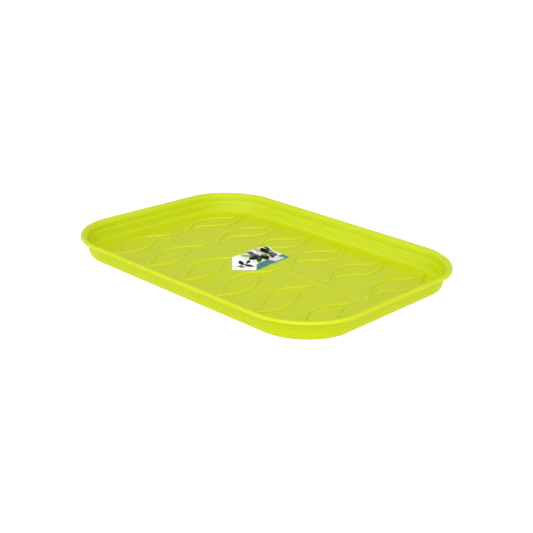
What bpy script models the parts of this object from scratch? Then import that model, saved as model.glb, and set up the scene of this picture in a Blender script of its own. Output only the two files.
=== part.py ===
"""Shallow plant growing tray with leaf-outline relief on its floor, and the
thin label stuck on the floor near the middle.

Origin: centre of the outline, on the plane the tray stands on (z = 0).
+X runs along the long side, +Y across, +Z up.  All lengths in metres.
"""
import math

import bmesh
import bpy
from mathutils import Vector

# ------------------------------------------------------------- dimensions
LENGTH = 0.3760            # overall, outer edge of the rim
WIDTH = 0.2772
CORNER = 0.0676            # plan size of the corner sweep at the rim edge
CORNER_POWER = 1.86        # 2 would be a true quarter circle
CORNER_SHRINK = 1.15       # how fast the sweep tightens towards the foot

LIP_Z = 0.0201             # lower edge of the turned rim
FLOOR_T = 0.0018           # floor thickness, also its level above the foot
CROWN = 0.0045             # amplitude of the raised middle of the floor
CROWN_CUT = 0.0003         # what is cut off the crown so its edge lies flat
CROWN_X = 0.1710           # half spans and power of the crown
CROWN_Y = 0.1190
CROWN_POWER = 2.2

# Wall section, as insets from the rim edge on the short sides and on the
# long sides, height, rounding radius and number of segments of the rounding.
SECTION = (
    (0.0200, 0.0220, 0.0, 0.0, 0),               # inner edge of the foot band
    (0.0100, 0.0121, 0.0, 0.0060, 4),            # base corner
    (0.0080, 0.0080, 0.0133, 0.0008, 1),         # outside step, lower line
    (0.0065, 0.0065, 0.0148, 0.0008, 1),         # outside step, upper line
    (0.00545, 0.00545, 0.02034, 0.0040, 3),      # wall turns out into the rim
    (0.00253, 0.00253, 0.02146, 0.0016, 1),      # hollow under the rim
    (0.00165, 0.00165, 0.02112, 0.00045, 1),     # inside of the lip
    (0.00165, 0.00165, LIP_Z, 0.0004, 1),        # lip, inner edge
    (0.0, 0.0, LIP_Z, 0.0006, 1),                # lip, outer edge
    (0.0, 0.0, 0.02262, 0.0021, 3),              # rim turns over
    (0.00275, 0.00275, 0.02334, 0.0034, 2),      # crest of the rim
    (0.0081, 0.0081, 0.0218, 0.0055, 4),         # rim rolls into the wall
    (0.00935, 0.00955, 0.01415, 0.0035, 2),      # ledge, upper line
    (0.01015, 0.01045, 0.0120, 0.0014, 1),       # ledge, lower line
    (0.0119, 0.0135, FLOOR_T, 0.00425, 4),       # wall meets the floor
    (0.0200, 0.0220, FLOOR_T, 0.0, 0),           # flat band round the floor
)
CORNER_SEGMENTS = 8
LONG_SEGMENTS = 7
SHORT_SEGMENTS = 5
FLOOR_RINGS = 5
UNDER_RINGS = 3

# Relief ribs: six columns, two rows, two mirrored bows to each leaf outline.
RIB_WIDTH = 0.0032
RIB_HEIGHT = 0.00185
RIB_ROOT = 0.0006          # how far a rib reaches down into the floor
RIB_HALF = 0.0419          # half length of a bow
RIB_BOW = 0.0158           # how far a bow swings sideways
RIB_POWER = 1.25           # shape of the swing
COLUMNS = 6
COLUMN_PITCH = 0.0550
COLUMN_SHIFT = 0.0010      # the relief stands slightly to +X
LEFT_BOW_Y = 0.0524        # middle of the bow that swings to -X
RIGHT_BOW_Y = 0.0707       # middle of the bow that swings to +X
RIGHT_BOW_SHIFT = 0.0010
SPINE_HALF = 0.1390        # the long low rib along the middle
SPINE_WIDTH = 0.0078
SPINE_HEIGHT = 0.00045

# Label: a plain tag outline with one pointed end.
LABEL_W = 0.0416
LABEL_H = 0.0578
LABEL_POINT = 0.0200
LABEL_X = -0.00705
LABEL_Y = 0.00595
LABEL_TURN = 0.077
LABEL_SKEW = -0.20         # the tag is cut slightly out of square
LABEL_T = 0.0003
LABEL_GAP = 0.0003


# ------------------------------------------------------------- set-up
for old in list(bpy.data.objects):
    bpy.data.objects.remove(old, do_unlink=True)

parts = bpy.data.collections.new("growing_tray")
bpy.context.scene.collection.children.link(parts)
cutters = bpy.data.collections.new("growing_tray_tools")
bpy.context.scene.collection.children.link(cutters)


def material(name, rgb, rough):
    mat = bpy.data.materials.new(name)
    mat.use_nodes = True
    bsdf = mat.node_tree.nodes["Principled BSDF"]
    bsdf.inputs["Base Color"].default_value = (rgb[0], rgb[1], rgb[2], 1.0)
    bsdf.inputs["Roughness"].default_value = rough
    bsdf.inputs["Metallic"].default_value = 0.0
    return mat


def link(name, mesh, coll):
    obj = bpy.data.objects.new(name, mesh)
    coll.objects.link(obj)
    return obj


def evaluated_mesh(obj, name):
    """The mesh that the object's curve or modifiers give."""
    graph = bpy.context.evaluated_depsgraph_get()
    mesh = bpy.data.meshes.new_from_object(obj.evaluated_get(graph))
    mesh.name = name
    mesh.transform(obj.matrix_world)
    return mesh


# ------------------------------------------------------------- floor level
def crown(x, y):
    """Height of the floor's upper face above the flat band round it."""
    gx = 1.0 - (abs(x) / CROWN_X) ** CROWN_POWER
    gy = 1.0 - (abs(y) / CROWN_Y) ** CROWN_POWER
    if gx <= 0.0 or gy <= 0.0:
        return 0.0
    return max(0.0, CROWN * gx * gy - CROWN_CUT)


# ------------------------------------------------------------- outline
def outline(inset_x, inset_y):
    """Closed plan outline, with the share of 'long side' at each point."""
    hx = LENGTH / 2 - inset_x
    hy = WIDTH / 2 - inset_y
    r = CORNER - CORNER_SHRINK * 0.5 * (inset_x + inset_y)
    quarter = []
    for i in range(CORNER_SEGMENTS + 1):
        a = 0.5 * math.pi * i / CORNER_SEGMENTS
        c = max(0.0, math.cos(a)) ** (2.0 / CORNER_POWER)
        s = max(0.0, math.sin(a)) ** (2.0 / CORNER_POWER)
        quarter.append((hx - r + r * c, hy - r + r * s, math.sin(a) ** 2))
    ring = []
    ring += quarter
    ring += side(quarter[-1], (-quarter[-1][0], quarter[-1][1], 1.0), LONG_SEGMENTS)
    ring += [(-x, y, t) for x, y, t in reversed(quarter)]
    ring += side((-quarter[0][0], quarter[0][1], 0.0),
                 (-quarter[0][0], -quarter[0][1], 0.0), SHORT_SEGMENTS)
    ring += [(-x, -y, t) for x, y, t in quarter]
    ring += side((-quarter[-1][0], -quarter[-1][1], 1.0),
                 (quarter[-1][0], -quarter[-1][1], 1.0), LONG_SEGMENTS)
    ring += [(x, -y, t) for x, y, t in reversed(quarter)]
    ring += side((quarter[0][0], -quarter[0][1], 0.0),
                 (quarter[0][0], quarter[0][1], 0.0), SHORT_SEGMENTS)
    return ring


def side(a, b, n):
    """Points between a and b, both left out."""
    return [tuple(a[k] + (b[k] - a[k]) * i / n for k in range(3))
            for i in range(1, n)]


def rounded(points):
    """Turn the corners of an (inset, z, radius, segments) line into arcs."""
    out = []
    for i, (o, z, r, n) in enumerate(points):
        if r <= 0.0 or n < 1:
            out.append((o, z))
            continue
        here = Vector((o, z))
        before = (Vector(points[i - 1][:2]) - here).normalized()
        after = (Vector(points[i + 1][:2]) - here).normalized()
        half = 0.5 * before.angle(after)
        middle = here + (before + after).normalized() * (r / math.sin(half))
        p0 = here + before * (r / math.tan(half)) - middle
        p1 = here + after * (r / math.tan(half)) - middle
        sweep = math.pi - 2.0 * half
        for k in range(n + 1):
            t = k / n
            p = middle + (p0 * math.sin((1 - t) * sweep)
                          + p1 * math.sin(t * sweep)) / math.sin(sweep)
            out.append((p.x, p.y))
    return out


short_line = rounded([(s[0], s[2], s[3], s[4]) for s in SECTION])
long_line = rounded([(s[1], s[2], s[3], s[4]) for s in SECTION])


def section_ring(k):
    """Ring of points round the tray at point k of the wall section."""
    (ox, zx), (oy, zy) = short_line[k], long_line[k]
    return [(x, y, zx * (1 - t) + zy * t) for x, y, t in outline(ox, oy)]


def inner_ring(k, scale, level):
    """The ring at section point k, shrunk towards the middle, on the crown."""
    (ox, _), (oy, _) = short_line[k], long_line[k]
    return [(x * scale, y * scale, level + crown(x * scale, y * scale))
            for x, y, t in outline(ox, oy)]


# ------------------------------------------------------------- tray shell
def tray_shell():
    """The moulding without its relief: a loft round the whole section."""
    bm = bmesh.new()
    sections = [inner_ring(0, k / UNDER_RINGS, 0.0) for k in range(1, UNDER_RINGS)]
    sections += [section_ring(k) for k in range(len(short_line))]
    sections += [inner_ring(-1, k / FLOOR_RINGS, FLOOR_T)
                 for k in range(FLOOR_RINGS - 1, 0, -1)]
    ring = [bm.verts.new(p) for p in sections[0]]
    edges = [bm.edges.new((ring[i], ring[(i + 1) % len(ring)]))
             for i in range(len(ring))]
    loops = [edges]
    for points in sections[1:]:
        place = {v: i for i, v in enumerate(ring)}
        grown = bmesh.ops.extrude_edge_only(bm, edges=edges)["geom"]
        ring = [None] * len(points)
        for v in grown:
            if not isinstance(v, bmesh.types.BMVert):
                continue
            for e in v.link_edges:
                i = place.get(e.other_vert(v))
                if i is not None:
                    ring[i] = v
        for v, p in zip(ring, points):
            v.co = p
        edges = [bm.edges.get((ring[i], ring[(i + 1) % len(ring)]))
                 for i in range(len(ring))]
        loops.append(edges)
    for loop, level in ((loops[0], 0.0), (loops[-1], FLOOR_T)):
        centre = bm.verts.new((0.0, 0.0, level + crown(0.0, 0.0)))
        for e in loop:
            bm.faces.new((e.verts[0], e.verts[1], centre))
    bmesh.ops.recalc_face_normals(bm, faces=bm.faces)
    mesh = bpy.data.meshes.new("tray")
    bm.to_mesh(mesh)
    bm.free()
    return mesh


# ------------------------------------------------------------- relief ribs
def rib_section(name, half, height):
    """Closed section of a rib: a low arch that reaches into the floor."""
    curve = bpy.data.curves.new(name, "CURVE")
    curve.dimensions = "2D"
    pts = [(half, -RIB_ROOT)]
    for i in range(5):
        a = math.pi * i / 4
        pts.append((half * math.cos(a), height * math.sin(a) ** 0.8 if 0 < i < 4 else 0.0))
    pts.append((-half, -RIB_ROOT))
    spline = curve.splines.new("POLY")
    spline.points.add(len(pts) - 1)
    for p, (x, y) in zip(spline.points, pts):
        p.co = (x, y, 0.0, 1.0)
    spline.use_cyclic_u = True
    return link(name, curve, cutters)


def rib_curve(name, points, section):
    """A rib swept along points (x, y, width share), laid on the floor."""
    curve = bpy.data.curves.new(name, "CURVE")
    curve.dimensions = "2D"
    curve.fill_mode = "NONE"
    curve.bevel_mode = "OBJECT"
    curve.bevel_object = section
    curve.use_fill_caps = True
    spline = curve.splines.new("POLY")
    spline.points.add(len(points) - 1)
    for p, (x, y, share) in zip(spline.points, points):
        p.co = (x, y, 0.0, 1.0)
        p.radius = share
    obj = link(name, curve, cutters)
    mesh = evaluated_mesh(obj, name)
    bpy.data.objects.remove(obj, do_unlink=True)
    for v in mesh.vertices:
        v.co.z += FLOOR_T + crown(v.co.x, v.co.y)
    return mesh


def tip_share(d, half, width):
    """How wide and high a rib is at distance d from its middle."""
    left = half - abs(d)
    if left >= width / 2:
        return 1.0
    t = 1.0 - max(0.0, left) / (width / 2)
    return max(0.30, math.sqrt(max(0.0, 1.0 - t * t)))


def stations(half, width, n):
    """Distances along a rib, with extra ones in the rounded tips."""
    inner = half - width / 2
    mid = [-inner + 2 * inner * i / n for i in range(n + 1)]
    tips = [half, half - 0.12 * width]
    return [-t for t in tips] + mid + [t for t in reversed(tips)]


def swing(d):
    """Sideways share of a bow at distance d along it from its middle."""
    u = (abs(d) / RIB_HALF) ** RIB_POWER
    return 0.5 * (1.0 + math.cos(math.pi * min(1.0, u)))


def bow_lines():
    """Middle lines of all the leaf-outline bows, as (x, y, d) lists."""
    lines = []
    for c in range(COLUMNS):
        cx = (c - 0.5 * (COLUMNS - 1)) * COLUMN_PITCH + COLUMN_SHIFT
        for row in (1.0, -1.0):
            for y0, sway, shift in ((LEFT_BOW_Y, -RIB_BOW, 0.0),
                                    (RIGHT_BOW_Y, RIB_BOW, RIGHT_BOW_SHIFT)):
                lines.append([(cx + shift + sway * swing(d), row * (y0 + d), d)
                              for d in stations(RIB_HALF, RIB_WIDTH, 10)])
    return lines


def ribs_mesh():
    bow_section = rib_section("bow_section", RIB_WIDTH / 2, RIB_HEIGHT)
    spine_section = rib_section("spine_section", SPINE_WIDTH / 2, SPINE_HEIGHT)
    bm = bmesh.new()
    for i, line in enumerate(bow_lines()):
        pts = [(x, y, tip_share(d, RIB_HALF, RIB_WIDTH)) for x, y, d in line]
        mesh = rib_curve("bow_%02d" % i, pts, bow_section)
        bm.from_mesh(mesh)
        bpy.data.meshes.remove(mesh)
    pts = [(d, 0.0, tip_share(d, SPINE_HALF, SPINE_WIDTH))
           for d in stations(SPINE_HALF, SPINE_WIDTH, 14)]
    mesh = rib_curve("spine", pts, spine_section)
    bm.from_mesh(mesh)
    bpy.data.meshes.remove(mesh)
    bmesh.ops.remove_doubles(bm, verts=bm.verts, dist=0.00002)
    bmesh.ops.recalc_face_normals(bm, faces=bm.faces)
    mesh = bpy.data.meshes.new("ribs")
    bm.to_mesh(mesh)
    bm.free()
    bpy.data.objects.remove(bow_section, do_unlink=True)
    bpy.data.objects.remove(spine_section, do_unlink=True)
    return mesh


tray = link("tray", tray_shell(), parts)
ribs = link("relief_ribs", ribs_mesh(), cutters)
ribs.hide_render = True
ribs.display_type = "WIRE"
join = tray.modifiers.new("relief", "BOOLEAN")
join.operation = "UNION"
join.solver = "EXACT"
join.object = ribs
whole = evaluated_mesh(tray, "tray")
tray.modifiers.remove(join)
tray.data = whole
tray.data.materials.clear()
tray.data.materials.append(material("tray_plastic", (0.565, 0.665, 0.044), 0.45))
for poly in tray.data.polygons:
    poly.material_index = 0
    poly.use_smooth = True
tray.data.set_sharp_from_angle(angle=math.radians(32))


# ------------------------------------------------------------- label
def relief(x, y, lines):
    """How far the label is lifted by the ribs that pass under it."""
    lift = SPINE_HEIGHT * math.exp(-(max(0.0, abs(y) - SPINE_WIDTH / 2) / 0.006) ** 2)
    for line in lines:
        near = min(math.hypot(x - px, y - py) for px, py in line)
        d = max(0.0, near - RIB_WIDTH / 2 - 0.0006)
        lift = max(lift, 1.05 * RIB_HEIGHT * math.exp(-(d / 0.005) ** 2))
    return lift


def rib_points():
    """Closely spaced points on the bows that come near the label."""
    lines = []
    for line in bow_lines():
        if abs(line[0][0] - LABEL_X) > 0.05:
            continue
        fine = []
        for a, b in zip(line, line[1:]):
            for i in range(8):
                fine.append((a[0] + (b[0] - a[0]) * i / 8,
                             a[1] + (b[1] - a[1]) * i / 8))
        fine.append((line[-1][0], line[-1][1]))
        lines.append(fine)
    return lines


def label_mesh():
    """Tag outline cut into a grid and laid over the floor and its ribs."""
    w, h = LABEL_W / 2, LABEL_H / 2
    bm = bmesh.new()
    verts = [bm.verts.new((x, y, 0.0)) for x, y in
             ((-w, -h), (0.0, -h - LABEL_POINT), (w, -h), (w, h), (-w, h))]
    bm.faces.new(verts)
    n_x, n_y = 10, 18
    for i in range(1, n_x):
        bmesh.ops.bisect_plane(bm, geom=bm.verts[:] + bm.edges[:] + bm.faces[:],
                               plane_co=(-w + LABEL_W * i / n_x, 0.0, 0.0),
                               plane_no=(1.0, 0.0, 0.0), dist=0.000001)
    total = LABEL_H + LABEL_POINT
    for i in range(1, n_y):
        bmesh.ops.bisect_plane(bm, geom=bm.verts[:] + bm.edges[:] + bm.faces[:],
                               plane_co=(0.0, h - total * i / n_y, 0.0),
                               plane_no=(0.0, 1.0, 0.0), dist=0.000001)
    lines = rib_points()
    c, s = math.cos(LABEL_TURN), math.sin(LABEL_TURN)
    for v in bm.verts:
        flat_y = v.co.y + LABEL_SKEW * v.co.x
        x = LABEL_X + c * v.co.x - s * flat_y
        y = LABEL_Y + s * v.co.x + c * flat_y
        z = FLOOR_T + crown(x, y) + relief(x, y, lines) + LABEL_GAP
        v.co = (x, y, z)
    bmesh.ops.recalc_face_normals(bm, faces=bm.faces)
    bm.normal_update()
    if bm.faces[:][0].normal.z < 0.0:
        bmesh.ops.reverse_faces(bm, faces=bm.faces)
    mesh = bpy.data.meshes.new("label")
    bm.to_mesh(mesh)
    bm.free()
    return mesh


label = link("label", label_mesh(), parts)
thick = label.modifiers.new("thickness", "SOLIDIFY")
thick.thickness = LABEL_T
thick.offset = 1.0
label.data.materials.append(material("label_face", (0.62, 0.70, 0.68), 0.40))
for poly in label.data.polygons:
    poly.use_smooth = True
label.data.set_sharp_from_angle(angle=math.radians(32))
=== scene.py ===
"""Plant growing tray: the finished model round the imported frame, with its
materials, studio light and the camera at the photograph's viewing angle."""
import math

import bmesh
import bpy
import numpy as np
from mathutils import Matrix, Vector
from mathutils.geometry import delaunay_2d_cdt


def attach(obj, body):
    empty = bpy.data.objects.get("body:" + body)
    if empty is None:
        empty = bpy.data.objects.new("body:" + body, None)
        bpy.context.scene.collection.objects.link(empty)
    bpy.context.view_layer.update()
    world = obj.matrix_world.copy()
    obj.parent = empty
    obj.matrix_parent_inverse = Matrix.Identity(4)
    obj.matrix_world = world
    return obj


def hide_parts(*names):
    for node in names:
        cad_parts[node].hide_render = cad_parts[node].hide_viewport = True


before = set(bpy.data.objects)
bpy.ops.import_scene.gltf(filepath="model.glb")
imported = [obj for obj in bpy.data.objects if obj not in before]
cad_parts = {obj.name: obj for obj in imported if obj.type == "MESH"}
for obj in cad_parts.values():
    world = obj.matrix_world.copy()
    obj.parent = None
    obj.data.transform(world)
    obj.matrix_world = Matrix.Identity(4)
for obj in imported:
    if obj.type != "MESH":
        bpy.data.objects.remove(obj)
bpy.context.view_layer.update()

MM = 0.001

# ------------------------------------------------------- dimensions, in mm
LENGTH, WIDTH = 376.0, 277.2
CORNER, CORNER_POWER, CORNER_SHRINK = 67.6, 1.86, 1.15
LIP_Z = 20.1                # lower edge of the turned rim
FLOOR_T = 1.8
CROWN, CROWN_CUT, CROWN_X, CROWN_Y, CROWN_POWER = 4.5, 0.3, 171.0, 119.0, 2.2

# inset on the short sides, inset on the long sides, height, rounding, steps
SECTION = (
    (20.0, 22.0, 0.0, 0.0, 0),                     # inner edge of the foot band
    (10.0, 12.1, 0.0, 6.0, 11),                    # base corner
    (8.0, 8.0, 13.3, 0.8, 4),                      # outside step, lower line
    (6.5, 6.5, 14.8, 0.8, 4),                      # outside step, upper line
    (5.45, 5.45, 20.34, 4.0, 8),                   # wall turns out into the rim
    (2.53, 2.53, 21.46, 1.6, 4),                   # hollow under the rim
    (1.65, 1.65, 21.12, 0.45, 3),                  # inside of the lip
    (1.65, 1.65, LIP_Z, 0.40, 3),                  # lip, inner edge
    (0.0, 0.0, LIP_Z, 0.60, 4),                    # lip, outer edge
    (0.0, 0.0, 22.62, 2.1, 8),                     # rim turns over
    (2.75, 2.75, 23.34, 3.4, 7),                   # crest of the rim
    (8.1, 8.1, 21.8, 5.5, 12),                     # rim rolls into the wall
    (9.35, 9.55, 14.15, 3.5, 7),                   # ledge, upper line
    (10.15, 10.45, 12.0, 1.4, 5),                  # ledge, lower line
    (11.9, 13.5, FLOOR_T, 4.25, 12),               # wall meets the floor
    (16.6, 18.5, FLOOR_T, 0.0, 0),                 # edge of the floor
)
CORNER_STEPS, LONG_STEPS, SHORT_STEPS = 36, 56, 32

RIB_HEIGHT = 1.85
RIB_FOOT = 1.7             # half width where a rib dies into the floor
RIB_HALF, RIB_BOW, RIB_POWER = 41.9, 15.8, 1.25
COLUMNS, COLUMN_PITCH, COLUMN_SHIFT = 6, 55.0, 1.0
LEFT_BOW_Y, RIGHT_BOW_Y, RIGHT_BOW_SHIFT = 52.4, 70.7, 1.0
SPINE_HALF, SPINE_FOOT, SPINE_HEIGHT = 139.0, 4.6, 0.45

LABEL_W, LABEL_H, LABEL_POINT = 41.6, 57.8, 20.0
LABEL_X, LABEL_Y, LABEL_TURN, LABEL_SKEW = -7.05, 5.95, 0.077, -0.20
LABEL_T, LABEL_GAP = 0.22, 0.10


# ------------------------------------------------------- surfaces
def crown(x, y):
    """How far the floor rises above its edge; smooth where it starts."""
    gx = 1.0 - (np.abs(x) / CROWN_X) ** CROWN_POWER
    gy = 1.0 - (np.abs(y) / CROWN_Y) ** CROWN_POWER
    v = CROWN * np.maximum(gx, 0.0) * np.maximum(gy, 0.0) - CROWN_CUT
    return np.maximum(0.0, 0.5 * (v + np.sqrt(v * v + 0.012)) - 0.01)


def swing(d):
    u = np.minimum(1.0, (np.abs(d) / RIB_HALF) ** RIB_POWER)
    return 0.5 * (1.0 + np.cos(np.pi * u))


def bow_lines():
    """Middle line of each leaf-outline rib, evenly spaced along its length."""
    d = np.linspace(-RIB_HALF, RIB_HALF, 401)
    out = []
    for c in range(COLUMNS):
        cx = (c - 0.5 * (COLUMNS - 1)) * COLUMN_PITCH + COLUMN_SHIFT
        for row in (1.0, -1.0):
            for y0, sway, shift in ((LEFT_BOW_Y, -RIB_BOW, 0.0),
                                    (RIGHT_BOW_Y, RIB_BOW, RIGHT_BOW_SHIFT)):
                p = np.c_[cx + shift + sway * swing(d), row * (y0 + d)]
                run = np.r_[0.0, np.cumsum(np.hypot(*np.diff(p, axis=0).T))]
                s = np.linspace(0.0, run[-1], int(round(run[-1] / 0.95)) + 1)
                out.append(np.c_[np.interp(s, run, p[:, 0]),
                                 np.interp(s, run, p[:, 1])])
    return out


BOWS = bow_lines()
SPINE = np.c_[np.linspace(-SPINE_HALF + 3.9, SPINE_HALF - 3.9, 100), np.zeros(100)]


def distance(p, line):
    """Distance of points p from a line of straight bits."""
    a, b = line[:-1], line[1:]
    ab = b - a
    t = ((p[:, None, :] - a[None]) * ab[None]).sum(2) / (ab * ab).sum(1)[None]
    near = a[None] + np.clip(t, 0.0, 1.0)[:, :, None] * ab[None]
    return np.sqrt(((p[:, None, :] - near) ** 2).sum(2)).min(1)


def relief(p):
    """Height of the ribs above the floor at points p."""
    h = np.zeros(len(p))
    for line, foot, high in [(b, RIB_FOOT, RIB_HEIGHT) for b in BOWS] + [
            (SPINE, SPINE_FOOT, SPINE_HEIGHT)]:
        lo, hi = line.min(0) - foot, line.max(0) + foot
        near = np.nonzero(((p > lo) & (p < hi)).all(1))[0]
        if len(near):
            d = np.minimum(1.0, distance(p[near], line) / foot)
            bump = (0.5 + 0.5 * np.cos(np.pi * d)) ** 0.62
            h[near] = np.maximum(h[near], high * bump)
    return h


# ------------------------------------------------------- outline and section
def side(a, b, n):
    t = np.arange(1, n)[:, None] / n
    return a[None] * (1 - t) + b[None] * t


def outline(inset_x, inset_y):
    """Closed plan outline (x, y, share of long side) at the given insets."""
    hx, hy = LENGTH / 2 - inset_x, WIDTH / 2 - inset_y
    r = CORNER - CORNER_SHRINK * 0.5 * (inset_x + inset_y)
    a = np.linspace(0.0, 0.5 * np.pi, CORNER_STEPS + 1)
    c = np.clip(np.cos(a), 0.0, 1.0) ** (2.0 / CORNER_POWER)
    s = np.clip(np.sin(a), 0.0, 1.0) ** (2.0 / CORNER_POWER)
    q = np.c_[hx - r + r * c, hy - r + r * s, np.sin(a) ** 2]
    flip_x, flip_y = np.array([-1.0, 1.0, 1.0]), np.array([1.0, -1.0, 1.0])
    q2 = (q * flip_x)[::-1]
    q3 = q * flip_x * flip_y
    q4 = (q * flip_y)[::-1]
    return np.concatenate([
        q, side(q[-1], q2[0], LONG_STEPS),
        q2, side(q2[-1], q3[0], SHORT_STEPS),
        q3, side(q3[-1], q4[0], LONG_STEPS),
        q4, side(q4[-1], q[0], SHORT_STEPS)])


def rounded(points):
    """Turn the corners of an (inset, z, radius, steps) line into true arcs."""
    out = []
    for i, (o, z, r, n) in enumerate(points):
        here = np.array((o, z))
        if r <= 0.0 or n < 1:
            out.append(here)
            continue
        before = np.array(points[i - 1][:2]) - here
        after = np.array(points[i + 1][:2]) - here
        before /= np.hypot(*before)
        after /= np.hypot(*after)
        half = 0.5 * math.acos(float(np.clip(before @ after, -1, 1)))
        bisector = (before + after) / np.hypot(*(before + after))
        middle = here + bisector * (r / math.sin(half))
        p0 = here + before * (r / math.tan(half)) - middle
        p1 = here + after * (r / math.tan(half)) - middle
        sweep = math.pi - 2.0 * half
        for k in range(n + 1):
            t = k / n
            out.append(middle + (p0 * math.sin((1 - t) * sweep)
                                 + p1 * math.sin(t * sweep)) / math.sin(sweep))
    return np.array(out)


SHORT_LINE = rounded([(s[0], s[2], s[3], s[4]) for s in SECTION])
LONG_LINE = rounded([(s[1], s[2], s[3], s[4]) for s in SECTION])


def section_ring(k):
    (ox, zx), (oy, zy) = SHORT_LINE[k], LONG_LINE[k]
    o = outline(ox, oy)
    return np.c_[o[:, 0], o[:, 1], zx * (1 - o[:, 2]) + zy * o[:, 2]]


def thinned(points, others, gap):
    """The points that are at least gap away from all others."""
    if not len(points):
        return points
    cell = {}
    for q in others:
        cell.setdefault((int(q[0] // gap), int(q[1] // gap)), []).append(q)
    keep = []
    for p in points:
        i, j = int(p[0] // gap), int(p[1] // gap)
        ok = True
        for di in (-1, 0, 1):
            for dj in (-1, 0, 1):
                for q in cell.get((i + di, j + dj), ()):
                    if (p[0] - q[0]) ** 2 + (p[1] - q[1]) ** 2 < gap * gap:
                        ok = False
                        break
                if not ok:
                    break
            if not ok:
                break
        if ok:
            keep.append(p)
    return np.array(keep) if keep else np.zeros((0, 2))


def hex_grid(hx, hy, step):
    rows = []
    n = int(hy / (step * 0.866)) + 1
    for j in range(-n, n + 1):
        x = np.arange(-hx - step, hx + step, step) + (0.5 * step if j % 2 else 0.0)
        rows.append(np.c_[x, np.full(len(x), j * step * 0.866)])
    return np.concatenate(rows)


def inside(p, inset_x, inset_y):
    """Which points lie inside the outline at those insets."""
    hx, hy = LENGTH / 2 - inset_x, WIDTH / 2 - inset_y
    r = CORNER - CORNER_SHRINK * 0.5 * (inset_x + inset_y)
    ax, ay = np.abs(p[:, 0]), np.abs(p[:, 1])
    box = (ax < hx) & (ay < hy)
    u, v = np.maximum(0, ax - (hx - r)) / r, np.maximum(0, ay - (hy - r)) / r
    return box & (u ** CORNER_POWER + v ** CORNER_POWER < 1.0)


def band_points(line, offsets, every=1):
    """Rows of points beside a line, and round its two ends."""
    way = np.gradient(line, axis=0)
    way /= np.hypot(*way.T)[:, None]
    normal = np.c_[-way[:, 1], way[:, 0]]
    pts = [line[::every]]
    for o in offsets:
        pts.append((line + normal * o)[::every])
        pts.append((line - normal * o)[::every])
        for end, out in ((line[0], -way[0]), (line[-1], way[-1])):
            n = max(3, int(math.pi * o / 0.62))
            a = np.linspace(-0.5 * np.pi, 0.5 * np.pi, n + 1)[1:-1]
            c, s = np.cos(a)[:, None], np.sin(a)[:, None]
            pts.append(end + o * (c * out + s * np.array([-out[1], out[0]])))
    return np.concatenate(pts)


def triangles(points, loop):
    """Delaunay triangles of the points inside a closed loop of points."""
    n = len(loop)
    flat = [Vector((float(x), float(y))) for x, y in np.concatenate([loop, points])]
    edges = [(i, (i + 1) % n) for i in range(n)]
    verts, _, faces, _, _, _ = delaunay_2d_cdt(flat, edges, [], 1, 1e-5)
    return np.array([(v.x, v.y) for v in verts]), [tuple(f) for f in faces]


class Mesh:
    """Collects vertices and faces, in mm."""

    def __init__(self):
        self.verts, self.faces, self.slots, self.count = [], [], [], 0

    def add(self, verts, faces, slot=0):
        base = self.count
        self.verts.append(np.asarray(verts, float))
        self.faces += [tuple(base + i for i in f) for f in faces]
        self.slots += [slot] * len(faces) if isinstance(slot, int) else list(slot)
        self.count += len(verts)
        return base

    def make(self, name, angle=35.0):
        mesh = bpy.data.meshes.new(name)
        mesh.from_pydata((np.concatenate(self.verts) * MM).tolist(), [], self.faces)
        mesh.polygons.foreach_set("material_index", self.slots)
        bm = bmesh.new()
        bm.from_mesh(mesh)
        bmesh.ops.remove_doubles(bm, verts=bm.verts, dist=0.000002)
        bmesh.ops.recalc_face_normals(bm, faces=bm.faces)
        bm.to_mesh(mesh)
        bm.free()
        for p in mesh.polygons:
            p.use_smooth = True
        mesh.set_sharp_from_angle(angle=math.radians(angle))
        obj = bpy.data.objects.new(name, mesh)
        bpy.context.scene.collection.objects.link(obj)
        return obj


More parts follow.
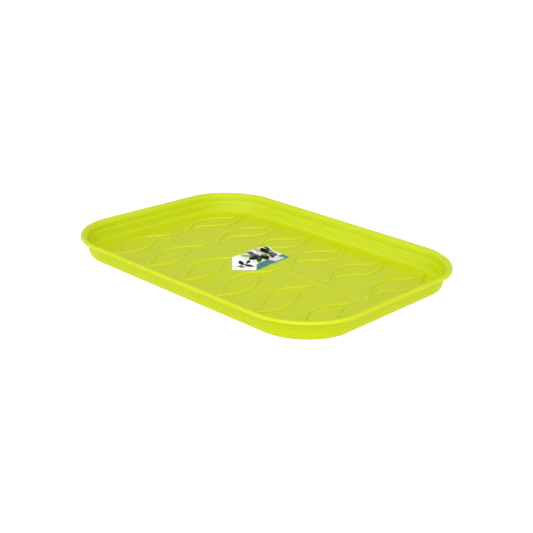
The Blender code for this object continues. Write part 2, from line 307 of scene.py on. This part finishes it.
# ------------------------------------------------------- the tray
def make_tray():
    m = Mesh()
    rings = [section_ring(k) for k in range(len(SHORT_LINE))]
    n = len(rings[0])
    base = m.add(np.concatenate(rings), [])
    faces = []
    for k in range(len(rings) - 1):
        a, b = base + k * n, base + (k + 1) * n
        for i in range(n):
            j = (i + 1) % n
            faces.append((a + i, a + j, b + j, b + i))
    m.faces += faces
    m.slots += [0] * len(faces)

    # floor with its ribs
    offsets = (0.38, 0.72, 1.0, 1.25, 1.47, 1.7, 2.3)
    pts = [band_points(b, offsets) for b in BOWS]
    pts.append(band_points(SPINE[::1], (1.3, 2.5, 3.3, 4.0, 4.6, 5.4)))
    dense = np.concatenate(pts)
    edge = rings[-1][:, :2]
    mid = np.concatenate([band_points(b, (4.2,), 2) for b in BOWS])
    mid = thinned(mid, dense, 1.5)
    dense = np.concatenate([dense, mid])
    loose = hex_grid(LENGTH / 2, WIDTH / 2, 4.6)
    loose = thinned(loose, np.concatenate([dense, edge]), 2.4)
    allp = np.concatenate([dense, loose])
    allp = allp[inside(allp, 17.3, 19.2)]
    v, f = triangles(allp, edge)
    z = FLOOR_T + np.where(inside(v, 16.9, 18.8), crown(v[:, 0], v[:, 1]) + relief(v), 0.0)
    m.add(np.c_[v, z], f)

    # underside: knock-out pin marks and the gate, all moulded in
    low = rings[0][:, :2]
    marks = [(x, y, 3.6, -0.16) for x in (-130.0, -45.0, 45.0, 130.0)
             for y in (-78.0, 78.0)] + [(0.0, 0.0, 6.5, -0.55)]
    pts = []
    for cx, cy, r, _ in marks:
        for rr in (0.45 * r, r - 0.25, r, r + 0.25, r + 2.0):
            a = np.arange(28) * 2 * np.pi / 28
            pts.append(np.c_[cx + rr * np.cos(a), cy + rr * np.sin(a)])
        pts.append(np.array([[cx, cy]]))
    a = np.arange(14) * 2 * np.pi / 14
    for rr in (1.3, 1.7):
        pts.append(np.c_[rr * np.cos(a), rr * np.sin(a)])
    marked = np.concatenate(pts)
    loose = thinned(hex_grid(LENGTH / 2, WIDTH / 2, 6.0),
                    np.concatenate([marked, low]), 3.2)
    allp = np.concatenate([marked, loose])
    allp = allp[inside(allp, 21.0, 23.0)]
    v, f = triangles(allp, low)
    z = np.where(inside(v, 20.3, 22.3), crown(v[:, 0], v[:, 1]), 0.0)
    for cx, cy, r, depth in marks:
        d = np.hypot(v[:, 0] - cx, v[:, 1] - cy)
        z = z - depth * (1.0 - np.clip((d - r + 0.26) / 0.5, 0.0, 1.0))
    d = np.hypot(v[:, 0], v[:, 1])
    z = z - 0.45 * (1.0 - np.clip((d - 1.25) / 0.45, 0.0, 1.0))
    m.add(np.c_[v, z], [t[::-1] for t in f])
    return m.make("growing_tray")


# ------------------------------------------------------- the label
def label_lift(p):
    """How far the ribs under the label lift it."""
    h = SPINE_HEIGHT * np.exp(-(np.maximum(0.0, np.abs(p[:, 1]) - 3.9) / 5.0) ** 2)
    for line in BOWS:
        if abs(line[:, 0].mean() - LABEL_X) > 55.0:
            continue
        d = np.maximum(0.0, distance(p, line) - 1.7)
        h = np.maximum(h, 1.02 * RIB_HEIGHT * np.exp(-(d / 2.6) ** 2))
    return h


def in_polygon(p, poly):
    x, y = p[:, 0], p[:, 1]
    hit = np.zeros(len(p), bool)
    for (x0, y0), (x1, y1) in zip(poly, np.roll(poly, -1, axis=0)):
        cross = (y0 > y) != (y1 > y)
        if y1 != y0:
            hit ^= cross & (x < (x1 - x0) * (y - y0) / (y1 - y0) + x0)
    return hit


def leaf(cx, cy, length, width, turn, n=18):
    """A plain pointed-oval leaf outline."""
    t = np.linspace(0.0, 1.0, n + 1)
    half = 0.5 * width * np.sin(np.pi * t ** 0.85)
    up = np.c_[t * length, half]
    down = np.c_[t * length, -half][::-1][1:-1]
    p = np.concatenate([up, down])
    c, s = math.cos(turn), math.sin(turn)
    return np.c_[cx + c * p[:, 0] - s * p[:, 1], cy + s * p[:, 0] + c * p[:, 1]]


WHITE, TEAL, PALE, DARK, MID, FRESH, CLAY, BLUSH, SLATE, MIST, BACK = range(11)


def label_print():
    """The printed shapes, lowest first: a plain plant motif of its own."""
    w, h = LABEL_W / 2, LABEL_H / 2
    shapes = []
    # picture panel, with plain overlapping leaves in it
    panel = np.array([(-w - 1.0, -h + 8.0), (w - 11.5, -h + 14.0), (w - 11.5, h + 1.0),
                      (-w - 1.0, h + 1.0)])
    shapes.append((panel, MIST, None))
    for cx, cy, ln, wd, deg, slot in (
            (-20.0, -14.0, 17.0, 6.0, 35.0, FRESH), (-6.0, -15.0, 22.0, 11.0, 78.0, DARK),
            (8.0, -12.0, 19.0, 7.0, 128.0, MID), (-21.5, -3.0, 19.0, 6.5, 18.0, SLATE),
            (9.5, 1.0, 20.0, 11.5, 150.0, DARK), (-14.0, -6.0, 14.0, 5.5, 58.0, CLAY),
            (-22.0, 8.0, 18.0, 6.5, 30.0, BLUSH), (-4.0, 6.0, 18.0, 6.5, 84.0, FRESH),
            (9.5, 11.0, 18.0, 7.0, 138.0, CLAY), (-18.5, 17.0, 19.0, 8.5, 8.0, DARK),
            (9.0, 19.0, 15.0, 6.0, 160.0, SLATE), (-20.0, 24.0, 17.0, 5.0, 4.0, MID)):
        shapes.append((leaf(cx, cy, ln, wd, math.radians(deg)), slot, panel))
    # coloured band down one side, with a plain paler field in it
    band = np.array([(w + 0.6, -h - 0.4), (w + 1.0, h + 1.0), (w - 11.5, h + 1.0),
                     (w - 11.5, -h + 12.0)])
    shapes.append((band, TEAL, None))
    patch = np.array([(w - 11.5, 3.0), (w - 2.5, 7.5), (w - 2.5, 24.0),
                      (w - 11.5, 19.5)])
    shapes.append((patch, PALE, None))
    # a plain leafy sprig on the white end
    stem = np.array([(-2.2, -41.0), (-0.8, -41.0), (0.8, -22.0), (-0.6, -22.0)])
    shapes.append((stem, DARK, None))
    shapes.append((leaf(-0.6, -31.0, 13.0, 6.4, math.radians(150.0)), DARK, None))
    shapes.append((leaf(0.2, -29.0, 13.5, 6.4, math.radians(26.0)), DARK, None))
    shapes.append((leaf(-1.0, -37.0, 9.0, 4.4, math.radians(34.0)), MID, None))
    shapes.append((leaf(0.0, -23.5, 9.5, 5.0, math.radians(118.0)), DARK, None))
    return shapes


def make_label():
    w, h, r = LABEL_W / 2, LABEL_H / 2, 0.4
    corners = [np.array(c) for c in
               ((-w, -h), (0.0, -h - LABEL_POINT), (w, -h), (w, h), (-w, h))]
    loop = []
    for i, c in enumerate(corners):
        a, b = corners[i - 1] - c, corners[(i + 1) % 5] - c
        a, b = a / np.hypot(*a), b / np.hypot(*b)
        for t in np.linspace(0.0, 1.0, 5):
            loop.append((c + a * r) * (1 - t) ** 2 + c * 2 * t * (1 - t) + (c + b * r) * t ** 2)
    fine = []
    for a, b in zip(loop, loop[1:] + loop[:1]):
        k = max(1, int(np.hypot(*(b - a)) / 1.2))
        fine += [a + (b - a) * t / k for t in range(k)]
    loop = np.array(fine)
    n = len(loop)

    def in_label(p, margin):
        """Inside the tag outline by at least margin."""
        ok = np.ones(len(p), bool)
        for i in range(5):
            a, b = corners[i], corners[(i + 1) % 5]
            d = (b - a) / np.hypot(*(b - a))
            ok &= (p[:, 0] - a[0]) * -d[1] + (p[:, 1] - a[1]) * d[0] > margin
        return ok

    verts, edges = [Vector(map(float, p)) for p in loop], []
    edges += [(i, (i + 1) % n) for i in range(n)]
    shapes = label_print()
    taken = [loop]
    for poly, _, _ in shapes:
        for a, b in zip(poly, np.roll(poly, -1, axis=0)):
            k = max(1, int(np.hypot(*(b - a)) / 1.6))
            run = [a + (b - a) * t / k for t in range(k + 1)]
            for p, q in zip(run, run[1:]):
                edges.append((len(verts), len(verts) + 1))
                verts += [Vector(map(float, p)), Vector(map(float, q))]
        taken.append(poly)
    grid = hex_grid(w, h + LABEL_POINT, 1.5)
    grid = grid[in_label(grid, 0.8)]
    taken = np.array([(v.x, v.y) for v in verts])
    grid = thinned(grid, taken, 0.7)
    verts += [Vector(map(float, p)) for p in grid]
    out, _, faces, _, _, _ = delaunay_2d_cdt(verts, edges, [], 0, 1e-4)
    flat = np.array([(v.x, v.y) for v in out])
    faces = [tuple(f) for f in faces]
    mid = np.array([flat[list(f)].mean(0) for f in faces])
    keep = in_polygon(mid, loop)
    faces = [f for f, k in zip(faces, keep) if k]
    mid = mid[keep]
    slots = np.full(len(faces), WHITE)
    for poly, slot, within in shapes:
        hit = in_polygon(mid, poly)
        if within is not None:
            hit &= in_polygon(mid, within)
        slots[hit] = slot

    def placed(p):
        y = p[:, 1] + LABEL_SKEW * p[:, 0]
        c, s = math.cos(LABEL_TURN), math.sin(LABEL_TURN)
        q = np.c_[LABEL_X + c * p[:, 0] - s * y, LABEL_Y + s * p[:, 0] + c * y]
        return q, FLOOR_T + crown(q[:, 0], q[:, 1]) + label_lift(q) + LABEL_GAP

    used = sorted({i for f in faces for i in f})
    new = {i: k for k, i in enumerate(used)}
    flat = flat[used]
    faces = [tuple(new[i] for i in f) for f in faces]
    q, z = placed(flat)
    m = Mesh()
    count = len(flat)
    m.add(np.c_[q, z + LABEL_T], faces, [int(s) for s in slots])
    m.add(np.c_[q, z], [f[::-1] for f in faces], BACK)
    once = {}
    for f in faces:
        for a, b in zip(f, f[1:] + f[:1]):
            once[(a, b)] = once.get((a, b), 0) + 1
    rim = [e for e in once if (e[1], e[0]) not in once]
    m.faces += [(b, a, a + count, b + count) for a, b in rim]
    m.slots += [BACK] * len(rim)
    return m.make("tag_label", 50.0)


# ------------------------------------------------------- materials
def fresh_material(name):
    mat = bpy.data.materials.new(name)
    mat.use_nodes = True
    tree = mat.node_tree
    tree.nodes.clear()
    out = tree.nodes.new("ShaderNodeOutputMaterial")
    bsdf = tree.nodes.new("ShaderNodeBsdfPrincipled")
    tree.links.new(bsdf.outputs["BSDF"], out.inputs["Surface"])
    return mat, tree, bsdf


def noise(tree, coord, scale, detail=3.0, rough=0.5):
    n = tree.nodes.new("ShaderNodeTexNoise")
    n.inputs["Scale"].default_value = scale
    n.inputs["Detail"].default_value = detail
    n.inputs["Roughness"].default_value = rough
    tree.links.new(coord, n.inputs["Vector"])
    return n.outputs["Fac"]


def spread(tree, value, low, high, a=0.3, b=0.7):
    r = tree.nodes.new("ShaderNodeMapRange")
    r.inputs["From Min"].default_value = a
    r.inputs["From Max"].default_value = b
    r.inputs["To Min"].default_value = low
    r.inputs["To Max"].default_value = high
    tree.links.new(value, r.inputs["Value"])
    return r.outputs["Result"]


def blend_colour(tree, value, c1, c2):
    m = tree.nodes.new("ShaderNodeMix")
    m.data_type = "RGBA"
    m.inputs["A"].default_value = (*c1, 1.0)
    m.inputs["B"].default_value = (*c2, 1.0)
    tree.links.new(value, m.inputs["Factor"])
    return m.outputs["Result"]


def bump(tree, bsdf, layers):
    last = None
    for height, strength, depth in layers:
        b = tree.nodes.new("ShaderNodeBump")
        b.inputs["Strength"].default_value = strength
        b.inputs["Distance"].default_value = depth
        tree.links.new(height, b.inputs["Height"])
        if last is not None:
            tree.links.new(last, b.inputs["Normal"])
        last = b.outputs["Normal"]
    tree.links.new(last, bsdf.inputs["Normal"])


def tray_material():
    """Satin lime-green polypropylene, a little translucent, finely grained."""
    mat, tree, bsdf = fresh_material("satin_green_plastic")
    at = tree.nodes.new("ShaderNodeTexCoord").outputs["Object"]
    cloud = spread(tree, noise(tree, at, 11.0, 4.0), 0.0, 1.0)
    base = blend_colour(tree, cloud, (0.568, 0.655, 0.0010), (0.580, 0.667, 0.0016))
    tree.links.new(base, bsdf.inputs["Base Color"])
    tree.links.new(spread(tree, noise(tree, at, 38.0, 5.0), 0.34, 0.42),
                   bsdf.inputs["Roughness"])
    bsdf.inputs["Specular IOR Level"].default_value = 0.37
    bsdf.inputs["IOR"].default_value = 1.49
    bsdf.inputs["Subsurface Weight"].default_value = 0.75
    bsdf.inputs["Subsurface Radius"].default_value = (1.0, 1.0, 0.4)
    bsdf.inputs["Subsurface Scale"].default_value = 0.0035
    bump(tree, bsdf, [(noise(tree, at, 55.0, 2.0), 0.05, 0.0012),
                      (noise(tree, at, 2600.0, 2.0), 0.10, 0.00008)])
    return mat


def ink_material(name, colour, rough=0.36, other=None):
    """Printed film: ink with a slight mottle under a satin varnish."""
    mat, tree, bsdf = fresh_material(name)
    at = tree.nodes.new("ShaderNodeTexCoord").outputs["Object"]
    other = other or tuple(min(1.0, c * 0.93) for c in colour)
    mottle = spread(tree, noise(tree, at, 420.0, 4.0), 0.0, 1.0, 0.38, 0.62)
    tree.links.new(blend_colour(tree, mottle, colour, other), bsdf.inputs["Base Color"])
    tree.links.new(spread(tree, noise(tree, at, 160.0, 3.0), rough - 0.05, rough + 0.06),
                   bsdf.inputs["Roughness"])
    bsdf.inputs["Specular IOR Level"].default_value = 0.04
    bump(tree, bsdf, [(noise(tree, at, 700.0, 3.0), 0.06, 0.0001)])
    return mat


tray = make_tray()
tray.data.materials.append(tray_material())
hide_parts("tray")
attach(tray, "root")

label = make_label()
for made in (
        ink_material("label_white", (0.985, 0.985, 0.985), other=(0.965, 0.97, 0.97)),
        ink_material("label_teal", (0.075, 0.285, 0.225), other=(0.050, 0.195, 0.165)),
        ink_material("label_pale", (0.82, 0.84, 0.84), other=(0.66, 0.69, 0.69)),
        ink_material("label_dark", (0.002, 0.003, 0.004), other=(0.006, 0.008, 0.007)),
        ink_material("label_mid_green", (0.035, 0.100, 0.030), other=(0.02, 0.06, 0.02)),
        ink_material("label_fresh_green", (0.30, 0.46, 0.16), other=(0.18, 0.30, 0.09)),
        ink_material("label_clay", (0.16, 0.06, 0.05), other=(0.08, 0.035, 0.03)),
        ink_material("label_blush", (0.66, 0.52, 0.47), other=(0.45, 0.32, 0.30)),
        ink_material("label_slate", (0.105, 0.155, 0.150), other=(0.06, 0.10, 0.10)),
        ink_material("label_mist", (0.84, 0.88, 0.80), other=(0.70, 0.78, 0.60)),
        ink_material("label_film", (0.84, 0.85, 0.84), 0.5)):
    label.data.materials.append(made)
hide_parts("label")
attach(label, "root")


# ------------------------------------------------------- stage
FLOOR_GLOW = 0.82
LAMP_AT, LAMP_POWER = (0.35, -0.40, 0.55), 0.70
SKY_WAY, SKY_SPREAD, SKY_FRONT, SKY_ROUND = (0.508, -0.834, 0.217), 1.171, 1.50, 0.305

floor_mesh = bpy.data.meshes.new("studio_floor")
floor_mesh.from_pydata([(-6, -6, -0.0002), (6, -6, -0.0002), (6, 6, -0.0002),
                        (-6, 6, -0.0002)], [], [(0, 1, 2, 3)])
floor = bpy.data.objects.new("studio_floor", floor_mesh)
bpy.context.scene.collection.objects.link(floor)
mat, tree, bsdf = fresh_material("pale_floor")
bsdf.inputs["Base Color"].default_value = (0.10, 0.10, 0.10, 1.0)
bsdf.inputs["Roughness"].default_value = 0.9
bsdf.inputs["Specular IOR Level"].default_value = 0.1
# a light table: it looks white all round and glows softly, but not under the tray, where the
# glow is switched off as painted shade beneath the tray
spot = tree.nodes.new("ShaderNodeNewGeometry").outputs["Position"]
inwards = tree.nodes.new("ShaderNodeVectorMath")
inwards.operation = "MULTIPLY"
inwards.inputs[1].default_value = (1.0 / 0.168, 1.0 / 0.1185, 0.0)
tree.links.new(spot, inwards.inputs[0])
axes = tree.nodes.new("ShaderNodeSeparateXYZ")
tree.links.new(inwards.outputs["Vector"], axes.inputs["Vector"])


def sum_of(tree, a, b, operation="ADD"):
    node = tree.nodes.new("ShaderNodeMath")
    node.operation = operation
    for k, x in enumerate((a, b)):
        if isinstance(x, float):
            node.inputs[k].default_value = x
        elif x is not None:
            tree.links.new(x, node.inputs[k])
    return node.outputs["Value"]


# glow mask: 1 beyond the tray's footprint, 0 under it; the dark patch under the tray is painted
# shade
reach = [sum_of(tree, sum_of(tree, axes.outputs[k], None, "ABSOLUTE"), 5.0, "POWER")
         for k in ("X", "Y")]
painted_shade_mask = sum_of(tree, sum_of(tree, *reach), 1.0, "GREATER_THAN")
seen = tree.nodes.new("ShaderNodeLightPath").outputs["Is Camera Ray"]
painted_bounce_tint = tree.nodes.new("ShaderNodeMix")     # painted bounce: the light and reflections this glow gives are painted yellow in place of the tray's green bounce, while the camera sees it white
painted_bounce_tint.data_type = "RGBA"
painted_bounce_tint.inputs["A"].default_value = (1.0, 1.0, 0.45, 1.0)
painted_bounce_tint.inputs["B"].default_value = (1.0, 1.0, 1.0, 1.0)
tree.links.new(seen, painted_bounce_tint.inputs["Factor"])
tree.links.new(painted_bounce_tint.outputs["Result"], bsdf.inputs["Emission Color"])
level = sum_of(tree, sum_of(tree, seen, 1.0 - FLOOR_GLOW, "MULTIPLY"), FLOOR_GLOW)
tree.links.new(sum_of(tree, painted_shade_mask, level, "MULTIPLY"),
               bsdf.inputs["Emission Strength"])
floor_mesh.materials.append(mat)

# a white studio: a broad bright front above the camera's left, dimmer behind
world = bpy.data.worlds.new("studio")
world.use_nodes = True
sky = world.node_tree
glow = sky.nodes["Background"]
glow.inputs["Color"].default_value = (1.0, 1.0, 1.0, 1.0)
way = sky.nodes.new("ShaderNodeTexCoord")
dot = sky.nodes.new("ShaderNodeVectorMath")
dot.operation = "DOT_PRODUCT"
dot.inputs[1].default_value = tuple(SKY_SPREAD * k for k in SKY_WAY)
sky.links.new(way.outputs["Generated"], dot.inputs[0])
lobe = sum_of(sky, sum_of(sky, dot.outputs["Value"], SKY_SPREAD, "SUBTRACT"), None,
              "EXPONENT")
light = sum_of(sky, sum_of(sky, lobe, SKY_FRONT, "MULTIPLY"), SKY_ROUND)
looked_at = sky.nodes.new("ShaderNodeLightPath").outputs["Is Camera Ray"]
paler = sum_of(sky, looked_at, sum_of(sky, 1.0, light, "SUBTRACT"), "MULTIPLY")
sky.links.new(sum_of(sky, light, paler), glow.inputs["Strength"])
bpy.context.scene.world = world

# one soft lamp over the near corner
lamp_data = bpy.data.lights.new("soft_lamp", "AREA")
lamp_data.shape = "DISK"
lamp_data.size = 0.30
lamp_data.energy = LAMP_POWER
lamp = bpy.data.objects.new("soft_lamp", lamp_data)
lamp.location = LAMP_AT
aim = Vector(LAMP_AT) - Vector((0.15, -0.10, 0.0))
lamp.rotation_euler = aim.to_track_quat("Z", "Y").to_euler()
bpy.context.scene.collection.objects.link(lamp)


# ------------------------------------------------------- camera
AZ, EL, ROLL = math.radians(42.3756), math.radians(20.8793), math.radians(2.3288)
DISTANCE, SHIFT_X, SHIFT_Y = 1.09963, -0.00549, 0.00032
right = Vector((math.cos(AZ), math.sin(AZ), 0.0))
back = Vector((math.sin(AZ) * math.cos(EL), -math.cos(AZ) * math.cos(EL), math.sin(EL)))
up = back.cross(right)
r2 = right * math.cos(ROLL) + up * math.sin(ROLL)
u2 = up * math.cos(ROLL) - right * math.sin(ROLL)

cam_data = bpy.data.cameras.new("camera")
cam_data.sensor_fit = "HORIZONTAL"
cam_data.sensor_width = 36.0
cam_data.lens = 1000.0425 / 533.0 * 36.0
cam_data.clip_start = 0.01
cam_data.clip_end = 50.0
cam = bpy.data.objects.new("camera", cam_data)
bpy.context.scene.collection.objects.link(cam)
place = back * DISTANCE - r2 * SHIFT_X - u2 * SHIFT_Y
m = Matrix((r2, u2, back)).transposed().to_4x4()
m.translation = place
cam.matrix_world = m
bpy.context.scene.camera = cam

view = bpy.context.scene.view_settings
view.view_transform = "Standard"
view.look = "None"
view.exposure = 0.0
view.gamma = 1.0
